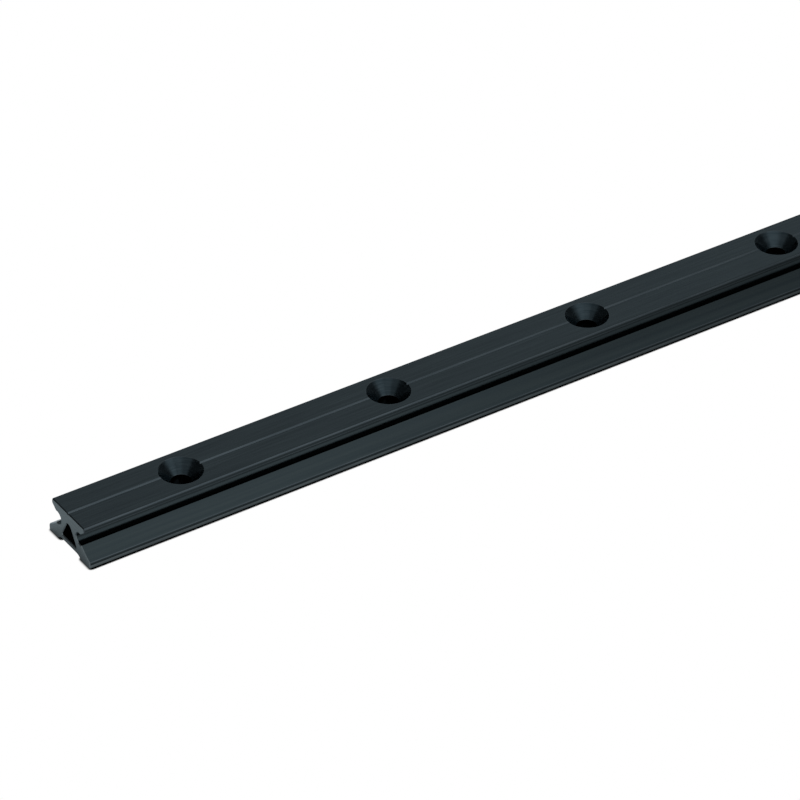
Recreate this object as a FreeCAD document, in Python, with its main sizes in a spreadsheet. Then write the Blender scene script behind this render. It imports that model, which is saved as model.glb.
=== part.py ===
import FreeCAD, Part
import enum
import math
import os
import Sketcher

# Sail track section: one length of anodised aluminium extrusion that a ball-bearing car runs along.
# The flat head carries the countersunk screw holes on its centre line, a round race runs down each
# side for the car's balls, and the flared base stands on two feet with a shallow recess between them.
# A rounded three-cornered hollow runs through the middle from end to end.
# Frame: X along the track, Y across it, Z up, origin under the middle of the base.

SIZES = {
    # Overall, in mm
    "track_length": 1000.0,
    "base_width": 32.0,
    "head_width": 25.5,
    "track_height": 18.0,
    # Head: its upright side, the round upper corner and the line scribed down its middle
    "lip_height": 2.2,
    "head_corner_radius": 1.0,
    "scribe_width": 1.4,
    "scribe_depth": 0.45,
    # Race for the car's balls, cut into each side of the web
    "race_radius": 2.75,
    "race_height": 10.6,
    "web_width": 11.9,
    "race_mouth_width": 19.2,
    "race_crest_width": 19.2,
    # Flared base: the hollow sweep of its upper side, the upright edge and its round corners
    "flange_sweep_radius": 45.0,
    "flange_edge_height": 2.5,
    "flange_edge_radius": 1.2,
    "foot_corner_radius": 1.0,
    # Recess under the base
    "recess_height": 1.7,
    "recess_top_width": 14.0,
    "recess_mouth_width": 18.4,
    # Hollow
    "floor_thickness": 2.4,
    "hollow_width": 11.2,
    "hollow_top_height": 12.4,
    "hollow_top_radius": 2.2,
    "hollow_corner_radius": 0.5,
    # Countersunk screw holes for M8 screws
    "first_hole_from_end": 52.5,
    "hole_pitch": 100.0,
    "hole_diameter": 8.4,
    "countersink_diameter": 18.8,
    "countersink_angle": 90.0,
}


class Axis(enum.IntEnum):
    """A sketch's own axes, as constraints number them."""

    HORIZONTAL = -1
    VERTICAL = -2


class Point(enum.IntEnum):
    """The point of a sketch edge that a constraint holds."""

    START = enum.auto()
    END = enum.auto()
    CENTRE = enum.auto()


ORIGIN = (Axis.HORIZONTAL, Point.START)


def add_sheet(doc):
    """Put the driving dimensions into a spreadsheet, each under its own alias."""
    sheet = doc.addObject("Spreadsheet::Sheet", "sizes")
    for row, (alias, value) in enumerate(SIZES.items(), start=1):
        sheet.set(f"A{row}", alias)
        sheet.set(f"B{row}", str(value))
        sheet.setAlias(f"B{row}", alias)
    doc.recompute()
    return sheet


def origin_feature(body, role):
    """Return the body's own origin plane or axis with this role."""
    return next(item for item in body.Origin.OriginFeatures if item.Role == role)


def add_line(sketch, first, last):
    """Add a straight edge between two points and return its number."""
    start = FreeCAD.Vector(first[0], first[1], 0)
    end = FreeCAD.Vector(last[0], last[1], 0)
    return sketch.addGeometry(Part.LineSegment(start, end), False)


def add_arc(sketch, centre, radius, from_angle, to_angle):
    """Add an arc that turns counter-clockwise between two angles in degrees and return its number."""
    circle = Part.Circle(FreeCAD.Vector(centre[0], centre[1], 0), FreeCAD.Vector(0, 0, 1), radius)
    arc = Part.ArcOfCircle(circle, math.radians(from_angle), math.radians(to_angle))
    return sketch.addGeometry(arc, False)


def crossing(first, first_radius, second, second_radius):
    """Return where two circles cross, on the left of the way from the first centre to the second."""
    across = second[0] - first[0]
    up = second[1] - first[1]
    apart = math.hypot(across, up)
    along = (apart**2 + first_radius**2 - second_radius**2) / (2 * apart)
    aside = math.sqrt(first_radius**2 - along**2)
    return (
        first[0] + (along * across - aside * up) / apart,
        first[1] + (along * up + aside * across) / apart,
    )


def angle_from(centre, point):
    """Return the direction of a point seen from a centre, in degrees."""
    return math.degrees(math.atan2(point[1] - centre[1], point[0] - centre[0]))


def bind(sketch, constraint, expression):
    """Add a dimension to a sketch and tie it to the sheet."""
    index = sketch.addConstraint(constraint)
    sketch.setExpression(f"Constraints[{index}]", expression)


def distance_x(sketch, point, expression, value):
    """Hold a point's distance from the centre plane."""
    bind(sketch, Sketcher.Constraint("DistanceX", *ORIGIN, *point, value), expression)


def distance_y(sketch, point, expression, value):
    """Hold a point's height above the base plane."""
    bind(sketch, Sketcher.Constraint("DistanceY", *ORIGIN, *point, value), expression)


def draw_half_section(sketch):
    """Draw the right half of the section: outside from the crown to the foot, then round the hollow."""
    size = SIZES
    height = size["track_height"]
    half_head = size["head_width"] / 2
    half_base = size["base_width"] / 2
    head_r = size["head_corner_radius"]
    edge_r = size["flange_edge_radius"]
    foot_r = size["foot_corner_radius"]
    race_r = size["race_radius"]
    race_y = size["web_width"] / 2 + race_r
    race_z = size["race_height"]

    # Places along the outside
    scribe_bottom = (0.0, height - size["scribe_depth"])
    scribe_edge = (size["scribe_width"] / 2, height)
    lip_bottom = (half_head, height - size["lip_height"])
    mouth_y = size["race_mouth_width"] / 2
    mouth = (mouth_y, race_z + math.sqrt(race_r**2 - (mouth_y - race_y)**2))
    crest_y = size["race_crest_width"] / 2
    crest = (crest_y, race_z - math.sqrt(race_r**2 - (crest_y - race_y)**2))
    sweep_r = size["flange_sweep_radius"]
    edge_centre = (half_base - edge_r, size["flange_edge_height"])
    sweep_centre = crossing(crest, sweep_r, edge_centre, sweep_r + edge_r)
    edge_angle = angle_from(edge_centre, sweep_centre)
    foot_inner = (size["recess_mouth_width"] / 2, 0.0)
    recess_corner = (size["recess_top_width"] / 2, size["recess_height"])
    recess_middle = (0.0, size["recess_height"])

    # Places round the hollow
    floor_z = size["recess_height"] + size["floor_thickness"]
    corner_r = size["hollow_corner_radius"]
    corner_centre = (size["hollow_width"] / 2 - corner_r, floor_z + corner_r)
    top_r = size["hollow_top_radius"]
    top_centre = (0.0, size["hollow_top_height"] - top_r)
    rise = top_centre[1] - corner_centre[1]
    run = math.hypot(corner_centre[0], rise)
    lean = math.atan2(corner_centre[0], rise) + math.asin((corner_r - top_r) / run)
    side_angle = math.degrees(lean)
    side_normal = (math.cos(lean), math.sin(lean))
    side_bottom = tuple(c + corner_r * n for c, n in zip(corner_centre, side_normal))
    side_top = tuple(c + top_r * n for c, n in zip(top_centre, side_normal))

    scribe_wall = add_line(sketch, scribe_bottom, scribe_edge)
    crown = add_line(sketch, scribe_edge, (half_head - head_r, height))
    head_corner = add_arc(sketch, (half_head - head_r, height - head_r), head_r, 0, 90)
    lip = add_line(sketch, (half_head, height - head_r), lip_bottom)
    underside = add_line(sketch, lip_bottom, mouth)
    race_centre = (race_y, race_z)
    mouth_angle = angle_from(race_centre, mouth)
    crest_angle = angle_from(race_centre, crest) + 360
    race = add_arc(sketch, race_centre, race_r, mouth_angle, crest_angle)
    sweep_start = angle_from(sweep_centre, crest)
    flange_top = add_arc(sketch, sweep_centre, sweep_r, sweep_start, edge_angle - 180)
    flange_edge = add_arc(sketch, edge_centre, edge_r, 0, edge_angle)
    edge_face = add_line(sketch, (half_base, edge_centre[1]), (half_base, foot_r))
    foot_corner = add_arc(sketch, (half_base - foot_r, foot_r), foot_r, -90, 0)
    foot = add_line(sketch, (half_base - foot_r, 0.0), foot_inner)
    recess_side = add_line(sketch, foot_inner, recess_corner)
    recess_top = add_line(sketch, recess_corner, recess_middle)
    floor_middle = add_line(sketch, recess_middle, (0.0, floor_z))
    floor = add_line(sketch, (0.0, floor_z), (corner_centre[0], floor_z))
    hollow_corner = add_arc(sketch, corner_centre, corner_r, -90, side_angle)
    hollow_side = add_line(sketch, side_bottom, side_top)
    hollow_top = add_arc(sketch, top_centre, top_r, side_angle, 90)
    crown_middle = add_line(sketch, (0.0, size["hollow_top_height"]), scribe_bottom)

    joined = [
        (scribe_wall, Point.END, crown, Point.START),
        (lip, Point.END, underside, Point.START),
        (underside, Point.END, race, Point.START),
        (race, Point.END, flange_top, Point.START),
        (foot, Point.END, recess_side, Point.START),
        (recess_side, Point.END, recess_top, Point.START),
        (recess_top, Point.END, floor_middle, Point.START),
        (floor_middle, Point.END, floor, Point.START),
        (hollow_top, Point.END, crown_middle, Point.START),
        (crown_middle, Point.END, scribe_wall, Point.START),
    ]
    tangent = [
        (crown, Point.END, head_corner, Point.END),
        (head_corner, Point.START, lip, Point.START),
        (flange_top, Point.END, flange_edge, Point.END),
        (flange_edge, Point.START, edge_face, Point.START),
        (edge_face, Point.END, foot_corner, Point.END),
        (foot_corner, Point.START, foot, Point.START),
        (floor, Point.END, hollow_corner, Point.START),
        (hollow_corner, Point.END, hollow_side, Point.START),
        (hollow_side, Point.END, hollow_top, Point.START),
    ]
    for pair in joined:
        sketch.addConstraint(Sketcher.Constraint("Coincident", *pair))
    for pair in tangent:
        sketch.addConstraint(Sketcher.Constraint("Tangent", *pair))
    for level in (crown, foot, recess_top, floor):
        sketch.addConstraint(Sketcher.Constraint("Horizontal", level))
    for upright in (lip, edge_face, floor_middle, crown_middle):
        sketch.addConstraint(Sketcher.Constraint("Vertical", upright))
    for geometry, point in ((scribe_wall, Point.START), (floor, Point.START), (hollow_top, Point.CENTRE)):
        sketch.addConstraint(Sketcher.Constraint("PointOnObject", geometry, point, Axis.VERTICAL))
    sketch.addConstraint(Sketcher.Constraint("PointOnObject", foot, Point.END, Axis.HORIZONTAL))

    # Head
    distance_y(sketch, (crown, Point.START), "sizes.track_height", height)
    distance_x(sketch, (crown, Point.START), "sizes.scribe_width / 2", scribe_edge[0])
    scribe_floor = "sizes.track_height - sizes.scribe_depth"
    distance_y(sketch, (scribe_wall, Point.START), scribe_floor, scribe_bottom[1])
    distance_x(sketch, (lip, Point.END), "sizes.head_width / 2", half_head)
    distance_y(sketch, (lip, Point.END), "sizes.track_height - sizes.lip_height", lip_bottom[1])
    bind(sketch, Sketcher.Constraint("Radius", head_corner, head_r), "sizes.head_corner_radius")

    # Race
    bind(sketch, Sketcher.Constraint("Radius", race, race_r), "sizes.race_radius")
    distance_x(sketch, (race, Point.CENTRE), "sizes.web_width / 2 + sizes.race_radius", race_y)
    distance_y(sketch, (race, Point.CENTRE), "sizes.race_height", race_z)
    distance_x(sketch, (race, Point.START), "sizes.race_mouth_width / 2", mouth_y)
    distance_x(sketch, (race, Point.END), "sizes.race_crest_width / 2", crest_y)

    # Base
    bind(sketch, Sketcher.Constraint("Radius", flange_top, sweep_r), "sizes.flange_sweep_radius")
    distance_y(sketch, (flange_edge, Point.START), "sizes.flange_edge_height", edge_centre[1])
    distance_x(sketch, (edge_face, Point.END), "sizes.base_width / 2", half_base)
    bind(sketch, Sketcher.Constraint("Radius", flange_edge, edge_r), "sizes.flange_edge_radius")
    bind(sketch, Sketcher.Constraint("Radius", foot_corner, foot_r), "sizes.foot_corner_radius")
    distance_x(sketch, (foot, Point.END), "sizes.recess_mouth_width / 2", foot_inner[0])
    distance_x(sketch, (recess_top, Point.START), "sizes.recess_top_width / 2", recess_corner[0])
    distance_y(sketch, (recess_top, Point.START), "sizes.recess_height", recess_corner[1])

    # Hollow
    distance_y(sketch, (floor, Point.START), "sizes.recess_height + sizes.floor_thickness", floor_z)
    distance_x(
        sketch,
        (hollow_corner, Point.CENTRE),
        "sizes.hollow_width / 2 - sizes.hollow_corner_radius",
        corner_centre[0],
    )
    bind(sketch, Sketcher.Constraint("Radius", hollow_corner, corner_r), "sizes.hollow_corner_radius")
    bind(sketch, Sketcher.Constraint("Radius", hollow_top, top_r), "sizes.hollow_top_radius")
    distance_y(sketch, (hollow_top, Point.END), "sizes.hollow_top_height", size["hollow_top_height"])


def add_extrusion(doc, body):
    """Extrude the half section along the whole length and mirror it across the centre plane."""
    sketch = body.newObject("Sketcher::SketchObject", "half_section")
    sketch.AttachmentSupport = (origin_feature(body, "YZ_Plane"), [""])
    sketch.MapMode = "FlatFace"
    draw_half_section(sketch)
    doc.recompute()

    half = body.newObject("PartDesign::Pad", "half_extrusion")
    half.Profile = sketch
    half.Midplane = True
    half.setExpression("Length", "sizes.track_length")
    doc.recompute()

    whole = body.newObject("PartDesign::Mirrored", "extrusion")
    whole.Originals = [half]
    whole.MirrorPlane = (origin_feature(body, "XZ_Plane"), [""])
    body.Tip = whole
    doc.recompute()
    return whole


def add_screw_holes(doc, body):
    """Drill and countersink the screw holes down the centre line, as many as the track has room for."""
    first_x = SIZES["track_length"] / 2 - SIZES["first_hole_from_end"]

    sketch = body.newObject("Sketcher::SketchObject", "first_hole")
    sketch.AttachmentSupport = (origin_feature(body, "XY_Plane"), [""])
    sketch.MapMode = "FlatFace"
    sketch.setExpression("AttachmentOffset.Base.z", "sizes.track_height")
    centre = FreeCAD.Vector(-first_x, 0, 0)
    rim = Part.Circle(centre, FreeCAD.Vector(0, 0, 1), SIZES["hole_diameter"] / 2)
    circle = sketch.addGeometry(rim, False)
    radius = Sketcher.Constraint("Radius", circle, SIZES["hole_diameter"] / 2)
    bind(sketch, radius, "sizes.hole_diameter / 2")
    place = Sketcher.Constraint("DistanceX", circle, Point.CENTRE, *ORIGIN, first_x)
    bind(sketch, place, "sizes.track_length / 2 - sizes.first_hole_from_end")
    sketch.addConstraint(Sketcher.Constraint("PointOnObject", circle, Point.CENTRE, Axis.HORIZONTAL))
    doc.recompute()

    hole = body.newObject("PartDesign::Hole", "countersunk_hole")
    hole.Profile = sketch
    doc.recompute()
    hole.Threaded = False
    hole.DepthType = "ThroughAll"
    hole.HoleCutType = "Countersink"
    hole.HoleCutCustomValues = True
    hole.setExpression("Diameter", "sizes.hole_diameter")
    hole.setExpression("HoleCutDiameter", "sizes.countersink_diameter")
    hole.setExpression("HoleCutCountersinkAngle", "sizes.countersink_angle * 1 deg")
    doc.recompute()

    row = body.newObject("PartDesign::LinearPattern", "screw_holes")
    row.Originals = [hole]
    row.Direction = (origin_feature(body, "X_Axis"), [""])
    row.Mode = "Spacing"
    row.setExpression("Offset", "sizes.hole_pitch")
    room = "sizes.track_length - sizes.first_hole_from_end - sizes.countersink_diameter"
    row.setExpression("Occurrences", f"floor(({room}) / sizes.hole_pitch) + 1")
    body.Tip = row
    doc.recompute()
    return hole, row


def check(doc, bodies):
    """Stop if any object failed to build or any body isn't one valid solid."""
    for item in doc.Objects:
        if "Invalid" in item.State or "Error" in item.State:
            raise RuntimeError(f"{item.Name} failed: {item.State}")
    for body in bodies:
        shape = body.Shape
        if shape.isNull() or not shape.isValid() or len(shape.Solids) != 1:
            raise RuntimeError(f"{body.Label} is not one valid solid")


def main():
    doc = FreeCAD.newDocument("sail_track_section")
    add_sheet(doc)

    body = doc.addObject("PartDesign::Body", "track_rail")
    body.Label = "track_rail"
    body.Placement = FreeCAD.Placement()
    extrusion = add_extrusion(doc, body)
    plain_volume = extrusion.Shape.Volume
    hole, row = add_screw_holes(doc, body)
    check(doc, [body])

    # Each hole takes away the same amount of metal as the first
    cut_once = plain_volume - hole.Shape.Volume
    cut_all = plain_volume - row.Shape.Volume
    if cut_once <= 0 or abs(cut_all - cut_once * row.Occurrences) > 1e-6 * plain_volume:
        raise RuntimeError("the screw holes did not cut the track as they should")

    os.makedirs("parts", exist_ok=True)
    body.Shape.exportStep(os.path.join("parts", f"{body.Label}.step"))
    box = body.Shape.BoundBox
    print(f"{body.Label}: {box.XLength:.2f} x {box.YLength:.2f} x {box.ZLength:.2f} mm")
    print(f"volume {body.Shape.Volume:.0f} mm3, one hole {cut_once:.1f} mm3, {row.Occurrences} holes")


main()
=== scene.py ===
import logging
import math
from dataclasses import dataclass, field
from enum import IntEnum
from typing import Any

import bmesh
import bpy
from mathutils import Matrix, Quaternion, Vector


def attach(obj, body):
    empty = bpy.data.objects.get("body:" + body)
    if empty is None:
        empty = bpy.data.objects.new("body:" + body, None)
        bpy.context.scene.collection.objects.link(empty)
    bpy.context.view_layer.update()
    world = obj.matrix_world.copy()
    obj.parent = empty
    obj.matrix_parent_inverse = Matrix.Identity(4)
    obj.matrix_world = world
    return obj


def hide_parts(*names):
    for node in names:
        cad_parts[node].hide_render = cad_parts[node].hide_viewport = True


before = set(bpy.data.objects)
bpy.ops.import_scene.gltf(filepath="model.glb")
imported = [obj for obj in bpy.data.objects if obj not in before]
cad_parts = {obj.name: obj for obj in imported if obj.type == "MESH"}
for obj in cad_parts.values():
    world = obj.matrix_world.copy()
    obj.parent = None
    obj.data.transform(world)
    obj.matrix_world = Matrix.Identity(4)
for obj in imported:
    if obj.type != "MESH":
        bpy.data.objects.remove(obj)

LOG = logging.getLogger("sail_track")

MM = 0.001  # a millimetre, in metres
SAME_PLACE = 1e-6  # points closer than this, in metres, are one point

# The sRGB curve is a straight line in the darkest tones and a power of the value above them.
SRGB_LINE_END, SRGB_LINE_SLOPE = 0.04045, 12.92
SRGB_OFFSET, SRGB_POWER = 0.055, 2.4

# A Mix node has sockets of one name for each kind of value, so they are told by their numbers.
MIX_FACTOR, MIX_FLOAT_A, MIX_FLOAT_B, MIX_COLOUR_A, MIX_COLOUR_B = 0, 2, 3, 6, 7
MIX_FLOAT_OUT, MIX_COLOUR_OUT = 0, 2

Place = tuple[float, float]


class Slot(IntEnum):
    """The material slots of the track, in their order on the mesh."""

    EXTRUSION = 0
    SAWN_END = 1
    COUNTERSINK = 2
    # A paler copy of the coat: a painted highlight along edges.
    PAINTED_HIGHLIGHT_EDGE = 3
    # A paler copy still: a painted reflection of the table on the feet.
    PAINTED_REFLECTION_FOOT = 4
    CROWN = 5


def linear(hex_colour: str) -> tuple[float, float, float, float]:
    """Turn an sRGB hex colour into linear RGBA.

    Args:
        hex_colour: Six hex digits, such as "30363a".

    Returns:
        The red, green, blue and alpha that a shader socket takes.
    """
    channels = [int(hex_colour[i:i + 2], 16) / 255 for i in (0, 2, 4)]
    red, green, blue = (
        value / SRGB_LINE_SLOPE
        if value <= SRGB_LINE_END
        else ((value + SRGB_OFFSET) / (1 + SRGB_OFFSET)) ** SRGB_POWER
        for value in channels
    )
    return red, green, blue, 1.0


def add_node(
    tree: bpy.types.NodeTree,
    kind: str,
    settings: dict[str, Any] | None = None,
    values: dict[str | int, Any] | None = None,
    links: dict[str | int, bpy.types.NodeSocket] | None = None,
) -> bpy.types.Node:
    """Add a node, set it up and link its inputs.

    Args:
        tree: The node tree that takes the node.
        kind: The node's type name.
        settings: Properties of the node itself.
        values: Fixed values of its input sockets.
        links: Output sockets of other nodes, by the input that each one feeds.

    Returns:
        The new node.
    """
    node = tree.nodes.new(kind)
    for name, value in (settings or {}).items():
        setattr(node, name, value)
    for name, value in (values or {}).items():
        node.inputs[name].default_value = value
    for name, socket in (links or {}).items():
        tree.links.new(socket, node.inputs[name])
    return node


def as_object(mesh: bmesh.types.BMesh, name: str) -> bpy.types.Object:
    """Put a finished bmesh into an object in the scene and free the bmesh.

    Args:
        mesh: The bmesh.
        name: The object's name.

    Returns:
        The new object, at the origin.
    """
    data = bpy.data.meshes.new(name)
    mesh.to_mesh(data)
    mesh.free()
    made = bpy.data.objects.new(name, data)
    bpy.context.scene.collection.objects.link(made)
    return made


def crossing(first: Place, first_radius: float, second: Place, second_radius: float) -> Place:
    """Find where two circles cross, on the left of the way from the first centre to the second.

    Args:
        first: Centre of the first circle.
        first_radius: Its radius.
        second: Centre of the second circle.
        second_radius: Its radius.

    Returns:
        The crossing point.
    """
    across, up = second[0] - first[0], second[1] - first[1]
    apart = math.hypot(across, up)
    along = (apart**2 + first_radius**2 - second_radius**2) / (2 * apart)
    aside = math.sqrt(first_radius**2 - along**2)
    return (
        first[0] + (along * across - aside * up) / apart,
        first[1] + (along * up + aside * across) / apart,
    )


def angle_from(centre: Place, point: Place) -> float:
    """Give the direction of a point seen from a centre, in degrees."""
    return math.degrees(math.atan2(point[1] - centre[1], point[0] - centre[0]))


class Pen:
    """Draws a chain of edges in the plane across the track, in millimetres."""

    def __init__(self, mesh: bmesh.types.BMesh, start: Place) -> None:
        """Put the pen down.

        Args:
            mesh: The mesh that takes the edges.
            start: The first point, across and up.
        """
        self.mesh = mesh
        self.tip = bmesh.ops.create_vert(mesh, co=self.point(start))["vert"][0]

    @staticmethod
    def point(place: Place) -> Vector:
        """Turn a place across and up into a point in metres."""
        return Vector((0.0, place[0], place[1])) * MM

    def line(self, *places: Place) -> bmesh.types.BMVert:
        """Draw straight edges.

        Args:
            *places: The points that they run through, from where the pen is.

        Returns:
            The last point.
        """
        for place in places:
            self.tip = bmesh.ops.extrude_vert_indiv(self.mesh, verts=[self.tip])["verts"][0]
            self.tip.co = self.point(place)
        return self.tip

    def turn(self, centre: Place, degrees: float, steps: int) -> bmesh.types.BMVert:
        """Draw an arc from where the pen is.

        Args:
            centre: The arc's centre.
            degrees: How far it turns, counter-clockwise when positive.
            steps: The number of edges in it.

        Returns:
            The arc's last point.
        """
        turned = bmesh.ops.spin(
            self.mesh,
            geom=[self.tip],
            cent=self.point(centre),
            axis=(1.0, 0.0, 0.0),
            angle=math.radians(degrees),
            steps=steps,
        )
        self.tip = next(v for v in turned["geom_last"] if isinstance(v, bmesh.types.BMVert))
        return self.tip


@dataclass(frozen=True)
class Section:
    """The section that the die gives the track, in mm, with heights from the plane of the feet.

    A corner's setback is how far along its two sides the rounding starts. The painted highlight
    along the lip's lower edge and the painted reflection on the feet's sides are no forms of their
    own: an edge along the track marks where each ends.
    """

    height: float = 18.0
    head_width: float = 25.5
    base_width: float = 32.0
    lip_height: float = 2.2
    head_corner_radius: float = 1.0
    scribe_width: float = 1.4
    scribe_depth: float = 0.45
    race_radius: float = 2.75
    race_height: float = 10.6
    web_width: float = 11.9
    race_mouth_width: float = 19.2
    race_crest_width: float = 19.2
    flange_sweep_radius: float = 45.0
    flange_edge_height: float = 2.5
    flange_edge_radius: float = 1.2
    foot_corner_radius: float = 1.0
    recess_height: float = 1.7
    recess_top_width: float = 14.0
    recess_mouth_width: float = 18.4
    recess_corner_setback: float = 1.3
    floor_thickness: float = 2.4
    hollow_width: float = 11.2
    hollow_top_height: float = 12.4
    hollow_top_radius: float = 2.2
    hollow_corner_radius: float = 0.5
    sharp_corner_setback: float = 0.18
    # The head's lower edge takes the painted highlight up to this height over the lip's bottom.
    lip_highlight_height: float = 0.5
    # The feet's sides take the painted reflection of the table up to this height.
    foot_reflection_height: float = 1.9

    race_steps: int = 32
    sweep_steps: int = 6
    corner_steps: int = 8
    recess_corner_steps: int = 6
    sharp_corner_steps: int = 3

    @property
    def race(self) -> Place:
        """Give the centre of the race's circle."""
        return self.web_width / 2 + self.race_radius, self.race_height

    @property
    def lip_bottom(self) -> float:
        """Give the height of the head's lower edge."""
        return self.height - self.lip_height

    @property
    def floor(self) -> float:
        """Give the height of the hollow's floor."""
        return self.recess_height + self.floor_thickness

    def on_race(self, width: float, side: int) -> Place:
        """Find a point on the race's circle.

        Args:
            width: Twice the point's distance from the centre plane.
            side: 1 for the upper half of the circle and -1 for the lower half.

        Returns:
            The point.
        """
        across = width / 2
        return across, self.race[1] + side * math.sqrt(
            self.race_radius**2 - (across - self.race[0]) ** 2
        )

    def draw_side(self, pen: Pen) -> list[bmesh.types.BMVert]:
        """Draw the head, the race and the flange, down to the plane of the feet.

        Args:
            pen: The pen, at the bottom of the scribed line.

        Returns:
            The sharp corners.
        """
        half_head, half_base = self.head_width / 2, self.base_width / 2
        head_corner = (half_head - self.head_corner_radius, self.height - self.head_corner_radius)
        pen.line((self.scribe_width / 2, self.height), (head_corner[0], self.height))
        pen.turn(head_corner, -90, self.corner_steps)
        pen.line((half_head, self.lip_bottom + self.lip_highlight_height))
        sharp = [pen.line((half_head, self.lip_bottom))]

        mouth = self.on_race(self.race_mouth_width, 1)
        crest = self.on_race(self.race_crest_width, -1)
        sharp.append(pen.line(mouth))
        around = angle_from(self.race, crest) + 360 - angle_from(self.race, mouth)
        sharp.append(pen.turn(self.race, around, self.race_steps))

        edge = (half_base - self.flange_edge_radius, self.flange_edge_height)
        sweep = crossing(
            crest,
            self.flange_sweep_radius,
            edge,
            self.flange_sweep_radius + self.flange_edge_radius,
        )
        edge_angle = angle_from(edge, sweep)
        pen.turn(sweep, edge_angle - 180 - angle_from(sweep, crest), self.sweep_steps)
        pen.turn(edge, -edge_angle, self.corner_steps)

        foot_corner = (half_base - self.foot_corner_radius, self.foot_corner_radius)
        pen.line((half_base, self.foot_reflection_height), (half_base, foot_corner[1]))
        pen.turn(foot_corner, -90, self.corner_steps)
        return sharp

    def draw_recess(self, pen: Pen) -> list[bmesh.types.BMVert]:
        """Draw the recess between the feet, up to the centre plane.

        Args:
            pen: The pen, on the plane of the feet.

        Returns:
            The recess's corners.
        """
        corners = [
            pen.line((self.recess_mouth_width / 2, 0.0)),
            pen.line((self.recess_top_width / 2, self.recess_height)),
        ]
        pen.line((0.0, self.recess_height))
        return corners

    def draw_hollow(self, pen: Pen) -> None:
        """Draw the hollow, from its floor to its rounded top.

        Args:
            pen: The pen, on the centre plane under the floor.
        """
        corner = (
            self.hollow_width / 2 - self.hollow_corner_radius,
            self.floor + self.hollow_corner_radius,
        )
        top = (0.0, self.hollow_top_height - self.hollow_top_radius)
        rise = top[1] - corner[1]
        widening = self.hollow_corner_radius - self.hollow_top_radius
        lean = math.atan2(corner[0], rise) + math.asin(widening / math.hypot(corner[0], rise))
        side_top = (
            top[0] + self.hollow_top_radius * math.cos(lean),
            top[1] + self.hollow_top_radius * math.sin(lean),
        )
        pen.line((0.0, self.floor), (corner[0], self.floor))
        pen.turn(corner, math.degrees(lean) + 90, self.corner_steps)
        pen.line(side_top)
        pen.turn(top, 90 - math.degrees(lean), self.corner_steps)

    def draw_half(self, mesh: bmesh.types.BMesh) -> bmesh.types.BMFace:
        """Draw the half of the section on the +Y side as one face.

        Args:
            mesh: The empty mesh that takes it.

        Returns:
            The face, whose straight side lies on the centre plane.
        """
        scribe_bottom = (0.0, self.height - self.scribe_depth)
        pen = Pen(mesh, scribe_bottom)
        sharp = self.draw_side(pen)
        recess = self.draw_recess(pen)
        self.draw_hollow(pen)
        pen.line(scribe_bottom)

        bmesh.ops.remove_doubles(mesh, verts=mesh.verts[:], dist=SAME_PLACE)
        bmesh.ops.edgeloop_fill(mesh, edges=mesh.edges[:])
        for corners, setback, steps in (
            (sharp, self.sharp_corner_setback, self.sharp_corner_steps),
            (recess, self.recess_corner_setback, self.recess_corner_steps),
        ):
            bmesh.ops.bevel(
                mesh,
                geom=[corner for corner in corners if corner.is_valid],
                affect="VERTICES",
                offset=setback * MM,
                segments=steps,
                profile=0.5,
                material=-1,
            )
        return next(iter(mesh.faces))


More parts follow.
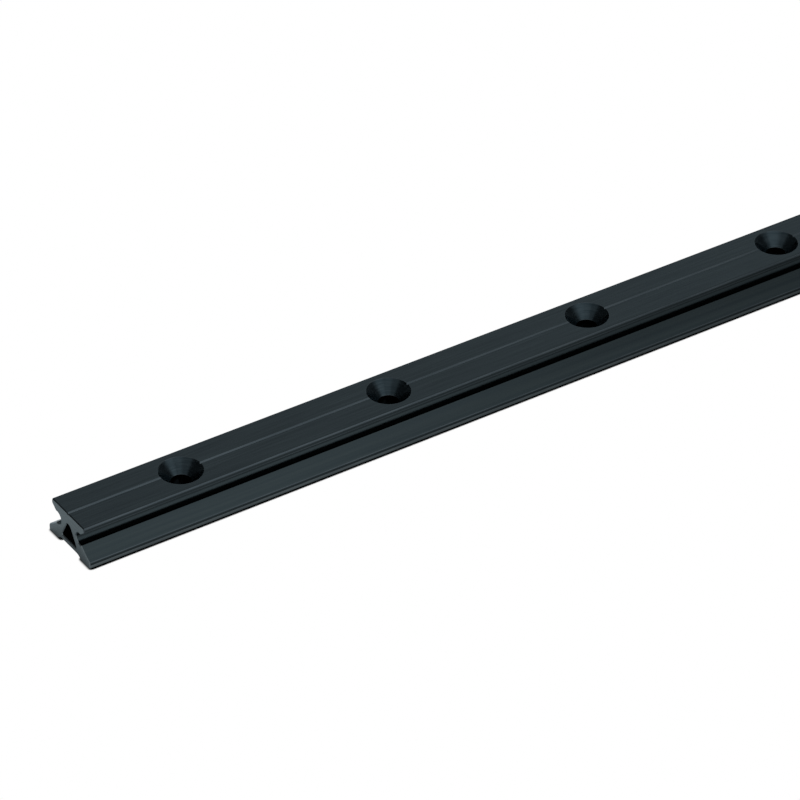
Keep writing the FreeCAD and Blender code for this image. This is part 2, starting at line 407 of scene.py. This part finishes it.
@dataclass(frozen=True)
class ScrewHoles:
    """The countersunk holes down the centre line, in mm.

    The cone leans out from the bore by 45 degrees, which makes a countersink of 90.
    """

    from_near_end: float = 52.5
    pitch: float = 100.0
    diameter: float = 8.4
    countersink_diameter: float = 18.8
    cone_lean: float = 45.0
    rim_radius: float = 0.3
    bore_edge_radius: float = 0.5
    clearance: float = 2.0

    sides: int = 96
    arc_steps: int = 4

    def count(self, length: float) -> int:
        """Give the number of holes that a track of this length has room for."""
        room = length - self.from_near_end - self.countersink_diameter
        return math.floor(room / self.pitch) + 1

    def cone_bottom(self, height: float) -> float:
        """Give the height at which the cone meets the bore, under a head of this height."""
        depth = (self.countersink_diameter - self.diameter) / 2
        return height - depth / math.tan(math.radians(self.cone_lean))

    def draw_profile(self, mesh: bmesh.types.BMesh, height: float) -> None:
        """Draw half of the shape that one drill cuts, from its axis out and back.

        Args:
            mesh: The empty mesh that takes it.
            height: The height of the head, where the countersink opens.
        """
        bore, rim = self.diameter / 2, self.countersink_diameter / 2
        lean = math.radians(self.cone_lean)
        bore_top = self.cone_bottom(height) - math.tan(lean / 2) * self.bore_edge_radius
        rim_setback = math.tan((math.pi / 2 - lean) / 2) * self.rim_radius
        rim_centre = (rim + rim_setback, height - self.rim_radius)
        rim_start = (
            rim_centre[0] - self.rim_radius * math.cos(lean),
            rim_centre[1] + self.rim_radius * math.sin(lean),
        )
        pen = Pen(mesh, (0.0, -self.clearance))
        pen.line((bore, -self.clearance), (bore, bore_top))
        pen.turn((bore + self.bore_edge_radius, bore_top), -self.cone_lean, self.arc_steps)
        pen.line(rim_start)
        pen.turn(rim_centre, self.cone_lean - 90, self.arc_steps)
        pen.line((rim_centre[0], height + self.clearance), (0.0, height + self.clearance))

    def cutters(self, length: float, height: float) -> bpy.types.Object:
        """Turn the shape that one drill cuts, and set one in each hole's place.

        Args:
            length: The track's length.
            height: The height of the head, where the countersinks open.

        Returns:
            An object with all the cutters.
        """
        mesh = bmesh.new()
        self.draw_profile(mesh, height)
        bmesh.ops.spin(
            mesh,
            geom=mesh.verts[:] + mesh.edges[:],
            cent=(0.0, 0.0, 0.0),
            axis=(0.0, 0.0, 1.0),
            angle=math.tau,
            steps=self.sides,
            use_merge=True,
        )
        bmesh.ops.remove_doubles(mesh, verts=mesh.verts[:], dist=SAME_PLACE)
        bmesh.ops.recalc_face_normals(mesh, faces=mesh.faces[:])
        # The bore's edge and the rim take the painted highlight; the rest of the cone takes the
        # countersunk finish.
        for face in mesh.faces:
            up = face.calc_center_median().z / MM
            at_bore = abs(up - self.cone_bottom(height)) < self.bore_edge_radius / 2
            at_rim = up > height - self.rim_radius
            face.material_index = Slot.PAINTED_HIGHLIGHT_EDGE if at_bore or at_rim else Slot.COUNTERSINK

        one = mesh.verts[:] + mesh.edges[:] + mesh.faces[:]
        first = (self.from_near_end - length / 2) * MM
        bmesh.ops.translate(mesh, verts=mesh.verts[:], vec=(first, 0.0, 0.0))
        for number in range(1, self.count(length)):
            copied = bmesh.ops.duplicate(mesh, geom=one)["geom"]
            moved = [item for item in copied if isinstance(item, bmesh.types.BMVert)]
            bmesh.ops.translate(mesh, verts=moved, vec=(number * self.pitch * MM, 0.0, 0.0))
        return as_object(mesh, "hole_cutters")


@dataclass(frozen=True)
class Finish:
    """Anodised aluminium with the marks of the tool that shaped it. Lengths in mm.

    The marks are a noise stretched in the direction that the tool ran, turned about the track's
    own line. They shift the tone and the sheen a little and stand up by a few thousandths of a
    millimetre. Real ones lie some hundredths of a millimetre apart, too fine for the picture, so
    they are drawn as coarse as the mark size says, and the finer steps of the noise fill them in.
    """

    name: str
    dark: str
    light: str
    roughness: float
    sheen_change: float
    mark_size: tuple[float, float, float]
    mark_height: float = 0.004
    mark_detail: float = 5.0
    mark_breakup: float = 0.6
    contrast: tuple[float, float] = (0.35, 0.65)
    turn: float = 0.0
    edge_tint: tuple[float, float, float, float] = (0.8, 0.9, 0.95, 1.0)

    def make(self) -> bpy.types.Material:
        """Build the material.

        Returns:
            The material, for one slot of the track.
        """
        material = bpy.data.materials.new(self.name)
        material.use_nodes = True
        tree = material.node_tree
        tree.nodes.clear()
        place = add_node(
            tree,
            "ShaderNodeMapping",
            values={
                "Rotation": (math.radians(self.turn), 0.0, 0.0),
                "Scale": tuple(1 / (size * MM) for size in self.mark_size),
            },
            links={"Vector": add_node(tree, "ShaderNodeTexCoord").outputs["Object"]},
        )
        marks = add_node(
            tree,
            "ShaderNodeTexNoise",
            values={"Scale": 1.0, "Detail": self.mark_detail, "Roughness": self.mark_breakup},
            links={"Vector": place.outputs["Vector"]},
        )
        tone = add_node(
            tree,
            "ShaderNodeMapRange",
            values={"From Min": self.contrast[0], "From Max": self.contrast[1]},
            links={"Value": marks.outputs["Fac"]},
        )
        colour = add_node(
            tree,
            "ShaderNodeMix",
            {"data_type": "RGBA"},
            {MIX_COLOUR_A: linear(self.dark), MIX_COLOUR_B: linear(self.light)},
            {MIX_FACTOR: tone.outputs["Result"]},
        )
        sheen = add_node(
            tree,
            "ShaderNodeMapRange",
            values={
                "To Min": self.roughness - self.sheen_change,
                "To Max": self.roughness + self.sheen_change,
            },
            links={"Value": marks.outputs["Fac"]},
        )
        bump = add_node(
            tree,
            "ShaderNodeBump",
            values={"Strength": 1.0, "Distance": self.mark_height * MM},
            links={"Height": marks.outputs["Fac"]},
        )
        shader = add_node(
            tree,
            "ShaderNodeBsdfPrincipled",
            values={"Metallic": 1.0, "Specular Tint": self.edge_tint},
            links={
                "Base Color": colour.outputs[MIX_COLOUR_OUT],
                "Roughness": sheen.outputs["Result"],
                "Normal": bump.outputs["Normal"],
            },
        )
        add_node(tree, "ShaderNodeOutputMaterial", links={"Surface": shader.outputs["BSDF"]})
        return material


# The die draws faint lines along the track, and the slate black coat over them has a satin sheen.
EXTRUDED = Finish(
    name="hard-anodised aluminium extrusion",
    dark="20272a",
    light="252c2e",
    roughness=0.26,
    sheen_change=0.04,
    mark_size=(160.0, 1.6, 1.6),
)

# The saw leaves a fine, matt face. It is paler than the sides partly for that and partly as
# painted light: the light that falls on the near end.
SAWN = Finish(
    name="sawn and hard-anodised aluminium end",
    dark="444b4d",
    light="52595b",
    roughness=0.4,
    sheen_change=0.05,
    mark_size=(1.0, 9.0, 0.5),
    turn=38.0,
)

# The countersink turns the cone smooth, so each side of it mirrors its own part of the room.
COUNTERSUNK = Finish(
    name="countersunk and hard-anodised aluminium",
    dark="1b2327",
    light="242c30",
    roughness=0.24,
    sheen_change=0.04,
    mark_size=(9.0, 9.0, 0.5),
    mark_height=0.003,
)

# A paler copy of the coat is a painted highlight along the rounded corners, the scribed line, the
# lip's lower edge and the holes' rims, where light catches them.
PAINTED_HIGHLIGHT = Finish(
    name="worn hard-anodised aluminium corner",
    dark="2b3236",
    light="353c40",
    roughness=0.27,
    sheen_change=0.05,
    mark_size=(24.0, 1.0, 1.0),
)

# A much paler copy of the coat is a painted reflection of the bright table along the sides of the
# feet and the lower end edges.
PAINTED_REFLECTION = Finish(
    name="rubbed hard-anodised aluminium foot",
    dark="4e565a",
    light="5c6568",
    roughness=0.32,
    sheen_change=0.05,
    mark_size=(30.0, 1.0, 1.0),
)

# The flat head slides on the rollout table, and shows more die lines and short scuffs.
CROWN = Finish(
    name="hard-anodised aluminium extrusion, head face",
    dark="1f2528",
    light="282f32",
    roughness=0.26,
    sheen_change=0.045,
    mark_size=(38.0, 0.9, 0.9),
)


@dataclass(frozen=True)
class PaintedEdgeBands:
    """How far round each rounded corner the painted highlight and the painted reflection of the
    feet reach, in shares of the corner's radius.

    A side is measured inwards from the track's widest place, a top downwards from the head, a base
    upwards from the plane of the feet, and the band upwards from the middle of the flange's edge.
    """

    head_side: float = 0.7
    head_top: float = 0.75
    flange_side: float = 0.45
    flange_band: tuple[float, float] = (0.38, 0.7)
    foot_side: float = 0.4
    foot_base: float = 0.45


@dataclass
class SailTrack:
    """One length of sail track, sawn, deburred, drilled and anodised. Lengths in mm.

    The finishes stand in the order of the slots. A face belongs to a flat when it lies within the
    flat slack of it. Edges that turn by more than the smooth angle, in degrees, stay crisp.
    """

    length: float = 1000.0
    end_break: float = 0.6
    flat_slack: float = 0.01
    smooth_angle: float = 32.0
    section: Section = field(default_factory=Section)
    holes: ScrewHoles = field(default_factory=ScrewHoles)
    painted_bands: PaintedEdgeBands = field(default_factory=PaintedEdgeBands)
    finishes: tuple[Finish, ...] = (EXTRUDED, SAWN, COUNTERSUNK, PAINTED_HIGHLIGHT, PAINTED_REFLECTION, CROWN)

    def break_ends(self, mesh: bmesh.types.BMesh) -> None:
        """Bevel the edges of both ends, but not the one on the centre plane.

        Args:
            mesh: The extruded half of the track.
        """
        ends = [
            edge
            for edge in mesh.edges
            if abs(edge.verts[0].co.x - edge.verts[1].co.x) < SAME_PLACE
            and max(abs(vert.co.y) for vert in edge.verts) > SAME_PLACE
        ]
        bmesh.ops.bevel(
            mesh,
            geom=ends,
            affect="EDGES",
            offset=self.end_break * MM,
            segments=1,
            profile=0.5,
            material=-1,
            clamp_overlap=True,
        )

    @staticmethod
    def mirror_half(mesh: bmesh.types.BMesh) -> None:
        """Open the half on the centre plane and mirror it to the other side.

        Args:
            mesh: The half of the track on the +Y side.
        """
        inner = [f for f in mesh.faces if max(abs(v.co.y) for v in f.verts) < SAME_PLACE]
        bmesh.ops.delete(mesh, geom=inner, context="FACES_ONLY")
        bmesh.ops.mirror(
            mesh,
            geom=mesh.verts[:] + mesh.edges[:] + mesh.faces[:],
            matrix=Matrix.Identity(4),
            merge_dist=SAME_PLACE,
            axis="Y",
        )
        bmesh.ops.recalc_face_normals(mesh, faces=mesh.faces[:])

    def slot_at(self, place: Vector) -> Slot:
        """Choose the finish of a face of the extruded track.

        Args:
            place: The middle of the face, in mm.

        Returns:
            The material slot for it.
        """
        section, painted_bands = self.section, self.painted_bands
        across, up = abs(place.y), place.z
        from_end = self.length / 2 - abs(place.x)
        from_head_side = section.head_width / 2 - across
        from_base_side = section.base_width / 2 - across
        under_head = section.height - up

        if from_end < self.flat_slack:
            return Slot.SAWN_END
        if from_end < self.end_break:
            # End edges take the painted highlight above the race and the painted reflection below
            # it.
            return Slot.PAINTED_HIGHLIGHT_EDGE if up > section.race_height else Slot.PAINTED_REFLECTION_FOOT
        # The scribed line's walls take the painted highlight.
        if across < section.scribe_width / 2 and under_head < section.scribe_depth:
            return Slot.PAINTED_HIGHLIGHT_EDGE
        if under_head < self.flat_slack:
            return Slot.CROWN

        # The head's corners, the lip's lower edge and a band round the flange's edge take the
        # painted highlight; the feet's sides take the painted reflection.
        on_head_corner = (
            from_head_side < painted_bands.head_side * section.head_corner_radius
            and under_head < painted_bands.head_top * section.head_corner_radius
        )
        on_lip_corner = (
            from_head_side < section.sharp_corner_setback
            and section.race_height < up < section.lip_bottom + section.lip_highlight_height
        )
        round_flange = (up - section.flange_edge_height) / section.flange_edge_radius
        on_flange_edge = (
            from_base_side < painted_bands.flange_side * section.flange_edge_radius
            and painted_bands.flange_band[0] < round_flange < painted_bands.flange_band[1]
        )
        if on_head_corner or on_lip_corner or on_flange_edge:
            return Slot.PAINTED_HIGHLIGHT_EDGE
        on_foot_side = (
            from_base_side < painted_bands.foot_side * section.foot_corner_radius
            and painted_bands.foot_base * section.foot_corner_radius < up < section.foot_reflection_height
        )
        return Slot.PAINTED_REFLECTION_FOOT if on_foot_side else Slot.EXTRUSION

    def extrude(self) -> bpy.types.Object:
        """Draw half the section, extrude it, break the edges of its ends and mirror it.

        Returns:
            The track's object, without its holes and finishes.
        """
        mesh = bmesh.new()
        half = self.section.draw_half(mesh)
        pulled = bmesh.ops.extrude_face_region(mesh, geom=[half])["geom"]
        far = [item for item in pulled if isinstance(item, bmesh.types.BMVert)]
        bmesh.ops.translate(mesh, verts=far, vec=(self.length * MM, 0.0, 0.0))
        bmesh.ops.translate(mesh, verts=mesh.verts[:], vec=(-self.length / 2 * MM, 0.0, 0.0))
        bmesh.ops.recalc_face_normals(mesh, faces=mesh.faces[:])
        self.break_ends(mesh)
        self.mirror_half(mesh)
        for face in mesh.faces:
            face.material_index = self.slot_at(face.calc_center_median() / MM)
        return as_object(mesh, "track_section")

    def drill(self, track: bpy.types.Object) -> None:
        """Cut the countersunk holes through the track.

        Args:
            track: The extruded track, whose mesh is replaced by the drilled one.
        """
        cutters = self.holes.cutters(self.length, self.section.height)
        for material in track.data.materials:
            cutters.data.materials.append(material)
        cut = track.modifiers.new("screw holes", "BOOLEAN")
        cut.operation = "DIFFERENCE"
        cut.solver = "EXACT"
        cut.material_mode = "INDEX"
        cut.object = cutters
        graph = bpy.context.evaluated_depsgraph_get()
        drilled = bpy.data.meshes.new_from_object(track.evaluated_get(graph))
        track.modifiers.clear()
        track.data = drilled
        drilled.name = track.name
        bpy.data.objects.remove(cutters)

    def smooth(self, track: bpy.types.Object) -> None:
        """Shade the arcs smooth and keep the flats flat and the scribed line crisp.

        Args:
            track: The drilled track.
        """
        track.data.polygons.foreach_set("use_smooth", [True] * len(track.data.polygons))
        track.data.set_sharp_from_angle(angle=math.radians(self.smooth_angle))
        rim = self.section.scribe_width / 2 * MM
        for edge in track.data.edges:
            ends = [track.data.vertices[i].co for i in edge.vertices]
            if all(abs(abs(end.y) - rim) < SAME_PLACE for end in ends):
                edge.use_edge_sharp = True
        even = track.modifiers.new("flats stay flat", "WEIGHTED_NORMAL")
        even.keep_sharp = True

    def build(self) -> bpy.types.Object:
        """Make the whole track in its finishes.

        Returns:
            The track's object.
        """
        track = self.extrude()
        for finish in self.finishes:
            track.data.materials.append(finish.make())
        self.drill(track)
        self.smooth(track)
        return track


@dataclass(frozen=True)
class Lamp:
    """One soft box: a rectangle of light turned towards a point. Lengths in metres."""

    name: str
    place: tuple[float, float, float]
    aim: tuple[float, float, float]
    size: tuple[float, float]
    watts: float

    def hang(self) -> bpy.types.Object:
        """Hang the lamp in the scene.

        Returns:
            The lamp's object.
        """
        data = bpy.data.lights.new(self.name, "AREA")
        data.shape = "RECTANGLE"
        data.size, data.size_y = self.size
        data.energy = self.watts
        lamp = bpy.data.objects.new(self.name, data)
        lamp.location = self.place
        lamp.visible_camera = False
        lamp.rotation_mode = "QUATERNION"
        lamp.rotation_quaternion = (Vector(self.aim) - Vector(self.place)).to_track_quat("-Z", "Y")
        bpy.context.scene.collection.objects.link(lamp)
        return lamp


@dataclass(frozen=True)
class Flag:
    """One card, black or grey, that stands out of the picture for the metal to mirror.

    Lengths are in metres. The turn is in degrees from a card that stands across the Y axis.
    """

    name: str
    place: tuple[float, float]
    turn: float
    width: float
    height: float
    colour: str = "0b0b0b"

    def stand(self) -> bpy.types.Object:
        """Stand the card up on the table.

        Returns:
            The card's object.
        """
        mesh = bmesh.new()
        bmesh.ops.create_grid(mesh, x_segments=1, y_segments=1, size=0.5)
        shape = (
            Matrix.Translation((*self.place, self.height / 2))
            @ Matrix.Rotation(math.radians(self.turn), 4, "Z")
            @ Matrix.Rotation(math.radians(90), 4, "X")
            @ Matrix.Diagonal((self.width, self.height, 1.0, 1.0))
        )
        bmesh.ops.transform(mesh, matrix=shape, verts=mesh.verts[:])
        card = as_object(mesh, self.name)
        # Felt is dull from every side, so the metal mirrors an even tone without a light spot.
        material = bpy.data.materials.new(f"felt of the {self.name}")
        material.use_nodes = True
        felt = material.node_tree.nodes["Principled BSDF"].inputs
        felt["Base Color"].default_value = linear(self.colour)
        felt["Roughness"].default_value = 1.0
        felt["Specular IOR Level"].default_value = 0.0
        card.data.materials.append(material)
        card.visible_camera = False
        card.visible_shadow = False
        return card


@dataclass(frozen=True)
class Studio:
    """A white table in a white room, with soft boxes. Lengths in metres.

    The table's middle lies aside, which keeps the seam between its two triangles out of sight.

    The contact shadow reaches a little way from what touches the table, and fades out between two
    shares of open sky. Beyond the near end, over the lit span of X, it gives way to a bright
    table.

    The table that the metal mirrors is darker near the track, between the mirrored depth and the
    brightness of the pool of light, which itself falls along X over the pool's span.
    """

    floor_size: float = 8.0
    floor_middle: tuple[float, float] = (0.6, -0.6)
    floor_colour: str = "e6e6e6"
    floor_roughness: float = 0.9
    shadow_reach: float = 0.0016
    shadow_sky: tuple[float, float] = (0.62, 0.86)
    shadow_samples: int = 16
    lit_end_span: tuple[float, float] = (-0.4998, -0.5006)
    lit_end_brightness: float = 0.85
    mirrored_reach: float = 0.012
    mirrored_sky: tuple[float, float] = (0.4, 1.0)
    mirrored_depth: float = 0.12
    mirrored_samples: int = 8
    pool_span: tuple[float, float] = (-0.375, -0.10)
    pool_range: tuple[float, float] = (1.0, 0.42)
    room_light: float = 0.5
    lamps: tuple[Lamp, ...] = (
        Lamp("front soft box", (-0.19, -0.36, 0.64), (-0.48, 0.03, 0.04), (0.40, 0.52), 0.76),
        Lamp("overhead soft box", (0.06, -0.17, 0.66), (0.06, -0.17, 0.0), (0.36, 0.24), 0.14),
        Lamp("left soft box", (-0.58, -0.40, 0.70), (-0.58, -0.40, 0.0), (0.36, 0.40), 0.36),
        Lamp("low soft box", (-0.18, -0.74, 0.31), (-0.50, -0.01, 0.01), (0.50, 0.46), 0.70),
    )
    flags: tuple[Flag, ...] = (
        Flag("back left flag", (-0.70, 0.56), 44.0, 1.26, 0.86, "9c9c9c"),
        Flag("back flag", (0.00, 0.70), -20.0, 1.2, 0.24),
        Flag("right flag", (0.85, -0.25), 90.0, 1.5, 0.98, "cccccc"),
    )

    @staticmethod
    def seen(tree: bpy.types.NodeTree) -> bpy.types.NodeSocket:
        """Add nodes that tell the rays which show the room from those that only light it.

        Args:
            tree: The node tree that takes them.

        Returns:
            A socket that gives 1 to camera, glossy and transmission rays and 0 to the others.
        """
        path = add_node(tree, "ShaderNodeLightPath")
        mirrored = add_node(
            tree,
            "ShaderNodeMath",
            {"operation": "ADD"},
            links={0: path.outputs["Is Camera Ray"], 1: path.outputs["Is Glossy Ray"]},
        )
        through = add_node(
            tree,
            "ShaderNodeMath",
            {"operation": "ADD", "use_clamp": True},
            links={0: mirrored.outputs[0], 1: path.outputs["Is Transmission Ray"]},
        )
        return through.outputs[0]

    def contact_shadow(
        self, tree: bpy.types.NodeTree, along: bpy.types.NodeSocket
    ) -> bpy.types.NodeSocket:
        """Add nodes that darken the table where the track touches it.

        Args:
            tree: The table's node tree.
            along: A socket with the place on the table along the track.

        Returns:
            A socket with the brightness of the table that the camera sees.
        """
        open_sky = add_node(
            tree,
            "ShaderNodeAmbientOcclusion",
            {"samples": self.shadow_samples},
            {"Distance": self.shadow_reach},
        )
        shade = add_node(
            tree,
            "ShaderNodeMapRange",
            {"interpolation_type": "SMOOTHSTEP"},
            {"From Min": self.shadow_sky[0], "From Max": self.shadow_sky[1]},
            {"Value": open_sky.outputs["AO"]},
        )
        lit_end = add_node(
            tree,
            "ShaderNodeMapRange",
            values={
                "From Min": self.lit_end_span[0],
                "From Max": self.lit_end_span[1],
                "To Max": self.lit_end_brightness,
            },
            links={"Value": along},
        )
        brighter = add_node(
            tree,
            "ShaderNodeMath",
            {"operation": "MAXIMUM"},
            links={0: shade.outputs["Result"], 1: lit_end.outputs["Result"]},
        )
        return brighter.outputs[0]

    def mirrored_table(
        self, tree: bpy.types.NodeTree, along: bpy.types.NodeSocket
    ) -> bpy.types.NodeSocket:
        """Add nodes that shade the table in the metal's mirror image of it.

        Args:
            tree: The table's node tree.
            along: A socket with the place on the table along the track.

        Returns:
            A socket with the brightness of the table that the metal mirrors.
        """
        open_sky = add_node(
            tree,
            "ShaderNodeAmbientOcclusion",
            {"samples": self.mirrored_samples},
            {"Distance": self.mirrored_reach},
        )
        pool = add_node(
            tree,
            "ShaderNodeMapRange",
            values={
                "From Min": self.pool_span[0],
                "From Max": self.pool_span[1],
                "To Min": self.pool_range[0],
                "To Max": self.pool_range[1],
            },
            links={"Value": along},
        )
        soft = add_node(
            tree,
            "ShaderNodeMapRange",
            values={
                "From Min": self.mirrored_sky[0],
                "From Max": self.mirrored_sky[1],
                "To Min": self.mirrored_depth,
            },
            links={"Value": open_sky.outputs["AO"], "To Max": pool.outputs["Result"]},
        )
        return soft.outputs["Result"]

    def table_material(self) -> bpy.types.Material:
        """Build the table's white laminate.

        It is matt, so the room lights it evenly, and shows as plain white with the contact shadow.

        Returns:
            The material.
        """
        material = bpy.data.materials.new("white laminate table")
        material.use_nodes = True
        tree = material.node_tree
        tree.nodes.clear()
        matt = add_node(
            tree,
            "ShaderNodeBsdfPrincipled",
            values={
                "Base Color": linear(self.floor_colour),
                "Roughness": self.floor_roughness,
                "Specular IOR Level": 0.0,
            },
        )
        place = add_node(
            tree,
            "ShaderNodeSeparateXYZ",
            links={0: add_node(tree, "ShaderNodeTexCoord").outputs["Object"]},
        )
        brightness = add_node(
            tree,
            "ShaderNodeMix",
            links={
                MIX_FACTOR: add_node(tree, "ShaderNodeLightPath").outputs["Is Glossy Ray"],
                MIX_FLOAT_A: self.contact_shadow(tree, place.outputs["X"]),
                MIX_FLOAT_B: self.mirrored_table(tree, place.outputs["X"]),
            },
        )
        white = add_node(
            tree,
            "ShaderNodeEmission",
            links={"Strength": brightness.outputs[MIX_FLOAT_OUT]},
        )
        both = add_node(
            tree,
            "ShaderNodeMixShader",
            links={0: self.seen(tree), 1: matt.outputs["BSDF"], 2: white.outputs["Emission"]},
        )
        add_node(tree, "ShaderNodeOutputMaterial", links={"Surface": both.outputs["Shader"]})
        return material

    def lay_floor(self) -> bpy.types.Object:
        """Lay the white table top.

        Returns:
            The table top's object.
        """
        mesh = bmesh.new()
        bmesh.ops.create_grid(mesh, x_segments=1, y_segments=1, size=self.floor_size / 2)
        bmesh.ops.translate(mesh, verts=mesh.verts[:], vec=(*self.floor_middle, 0.0))
        floor = as_object(mesh, "table_top")
        floor.data.materials.append(self.table_material())
        return floor

    def fill_room(self) -> bpy.types.World:
        """Fill the room with even white light.

        Returns:
            The scene's world.
        """
        world = bpy.data.worlds.new("white room")
        bpy.context.scene.world = world
        world.use_nodes = True
        tree = world.node_tree
        tree.nodes.clear()
        strength = add_node(
            tree,
            "ShaderNodeMapRange",
            values={"To Min": self.room_light, "To Max": 1.0},
            links={"Value": self.seen(tree)},
        )
        sky = add_node(
            tree,
            "ShaderNodeBackground",
            values={"Color": (1.0, 1.0, 1.0, 1.0)},
            links={"Strength": strength.outputs["Result"]},
        )
        add_node(tree, "ShaderNodeOutputWorld", links={"Surface": sky.outputs["Background"]})
        return world

    def set_up(self) -> None:
        """Lay the floor, fill the room with light, hang the lamps and stand the flags up."""
        self.lay_floor()
        self.fill_room()
        for lamp in self.lamps:
            lamp.hang()
        for flag in self.flags:
            flag.stand()


@dataclass(frozen=True)
class PhotoCamera:
    """The camera of the photograph, fitted to the track's edges and the rims of its holes.

    Lengths are in mm and angles in degrees. The camera looks at the aim and is then lifted.
    """

    azimuth: float = -33.530
    elevation: float = 35.470
    roll: float = 0.04
    lift: float = 0.123
    aim: tuple[float, float, float] = (-347.267, -8.181, 18.0)
    distance: float = 1916.645
    lens: float = 210.233
    sensor: float = 36.0
    clip: tuple[float, float] = (50.0, 30000.0)

    def stand(self) -> bpy.types.Object:
        """Set the camera up and make it the scene's own.

        Returns:
            The camera's object.
        """
        turn, rise = math.radians(self.azimuth), math.radians(self.elevation)
        level = math.cos(rise)
        back = Vector((math.sin(turn) * level, -math.cos(turn) * level, math.sin(rise)))
        data = bpy.data.cameras.new("photo camera")
        data.lens = self.lens
        data.sensor_width = self.sensor
        data.clip_start, data.clip_end = (limit * MM for limit in self.clip)
        camera = bpy.data.objects.new("photo camera", data)
        look = (-back).to_track_quat("-Z", "Y")
        lifted = look @ Vector((0.0, self.lift, 0.0))
        camera.location = (Vector(self.aim) + back * self.distance + lifted) * MM
        camera.rotation_mode = "QUATERNION"
        camera.rotation_quaternion = look @ Quaternion((0, 0, 1), math.radians(self.roll))
        bpy.context.scene.collection.objects.link(camera)
        bpy.context.scene.camera = camera
        return camera


def main() -> None:
    """Build the camera, the studio and the track, in that order."""
    logging.basicConfig(level=logging.INFO, format="%(message)s")
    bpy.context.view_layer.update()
    bpy.context.scene.view_settings.view_transform = "Standard"
    PhotoCamera().stand()
    Studio().set_up()

    track = SailTrack().build()
    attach(track, "root")
    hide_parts("track_rail")
    LOG.info("%s: %d faces", track.name, len(track.data.polygons))


if __name__ == "__main__":
    main()
